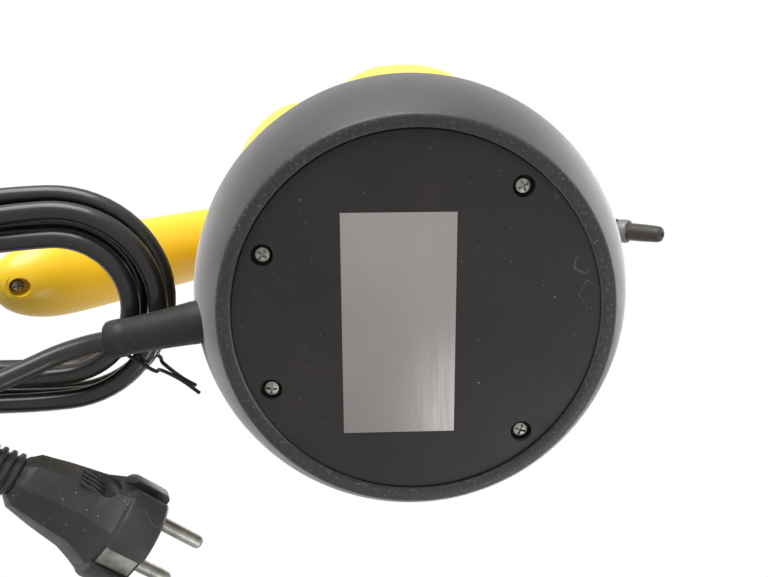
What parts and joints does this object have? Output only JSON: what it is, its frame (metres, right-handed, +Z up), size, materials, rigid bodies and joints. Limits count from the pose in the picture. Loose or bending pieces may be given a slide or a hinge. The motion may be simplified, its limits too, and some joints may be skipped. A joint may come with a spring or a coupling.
{
  "type": "wallpaper steamer",
  "caption": "Hand-held steam cleaner for wallpaper and tiles: round boiler body, jug handle with steam button, safety cap, steam jet and mains cord in a hank.",
  "frame": {"origin": "centre of the bottom ring that the body stands on, at the ring's face", "axes": "+X forward to the nozzle, +Y to the left, +Z up along the body's axis"},
  "size_m": [0.4294, 0.1819, 0.184],
  "materials": {
    "black_shell": "satin",
    "base_black": "matte",
    "yellow_shell": "satin",
    "sticker": "satin foil",
    "steel": "bright",
    "cast_aluminium": "as cast",
    "brass": "turned",
    "rubber_black": "matt",
    "gasket_red": "matt",
    "cord_rubber": "satin",
    "plug_rubber": "satin",
    "grey_ring": "satin",
    "hose_silicone": "translucent",
    "lens_red": "clear tinted",
    "lamp_glass": "clear",
    "ceramic": "matt",
    "wire_brown": "satin",
    "wire_green": "satin"
  },
  "bodies": {
    "housing": {"bowl": "black_shell", "base_plate": "base_black", "base_screws": "steel", "rating_label": "sticker", "upper_shell": "yellow_shell", "spout_shell": "yellow_shell", "handle_top": "yellow_shell", "handle_cover": "yellow_shell", "handle_screws": "steel", "boiler_lower": "cast_aluminium", "boiler_upper": "cast_aluminium", "boiler_gasket": "gasket_red", "boiler_screws": "steel", "boiler_feet_screws": "steel", "heater_element": "steel", "thermostat": "ceramic", "thermal_fuse": "ceramic", "filler_neck": "brass", "filler_collar": "base_black", "valve_body": "brass", "valve_spring": "steel", "valve_nut": "brass", "rocker_pin": "steel", "button_spring": "steel", "steam_hose": "hose_silicone", "nozzle_base": "black_shell", "nozzle_ring": "grey_ring", "nozzle_jet": "black_shell", "indicator_lens": "lens_red", "indicator_lamp": "lamp_glass", "terminal_block": "ceramic", "live_wires": "wire_brown", "earth_wire": "wire_green", "cord_clamp": "black_shell", "clamp_screws": "steel", "strain_relief": "rubber_black", "cord_tail": "cord_rubber", "power_cord": "cord_rubber", "cord_hank": "cord_rubber", "plug_lead": "cord_rubber", "cord_tie": "base_black", "plug_body": "plug_rubber", "plug_pins": "steel", "plug_earth_clips": "steel"},
    "cap_seal": {"cap_gasket": "gasket_red"},
    "cap": {"cap_shell": "black_shell", "cap_core": "brass", "relief_nut": "brass", "relief_spring": "steel"},
    "relief_valve": {"relief_plunger": "steel"},
    "button": {"steam_button": "base_black"},
    "rocker": {"rocker_lever": "steel"},
    "valve_stem": {"valve_plunger": "steel"}
  },
  "joints": [
    {"name": "cap_lift", "type": "slide", "parent": "housing", "child": "cap_seal", "axis": [0, 0, 1], "range_m": [0, 0.0076]},
    {"name": "cap_turn", "type": "hinge", "parent": "cap_seal", "child": "cap", "pos_m": [0, 0, 0.16], "axis": [0, 0, 1], "range_deg": [0, 1080]},
    {"name": "relief_lift", "type": "slide", "parent": "cap", "child": "relief_valve", "axis": [0, 0, 1], "range_m": [0, 0.0015], "stiffness_N_per_m": 1500, "springref_m": -0.003, "deforming": ["relief_spring"]},
    {"name": "button_press", "type": "slide", "parent": "housing", "child": "button", "axis": [0, 0, -1], "range_m": [0, 0.004], "stiffness_N_per_m": 800, "springref_m": -0.002, "deforming": ["button_spring"]},
    {"name": "rocker_swing", "type": "hinge", "parent": "housing", "child": "rocker", "pos_m": [-0.054, 0, 0.143], "axis": [0, -1, 0], "range_deg": [0, 10.6]},
    {"name": "valve_lift", "type": "slide", "parent": "housing", "child": "valve_stem", "axis": [0, 0, 1], "range_m": [0, 0.0052], "deforming": ["valve_spring"]}
  ],
  "couplings": [
    {"joint": "cap_lift", "follows": "cap_turn", "m_per_rad": 0.00039789},
    {"joint": "rocker_swing", "follows": "button_press", "rad_per_m": 45},
    {"joint": "valve_lift", "follows": "button_press", "ratio": 1.25}
  ]
}
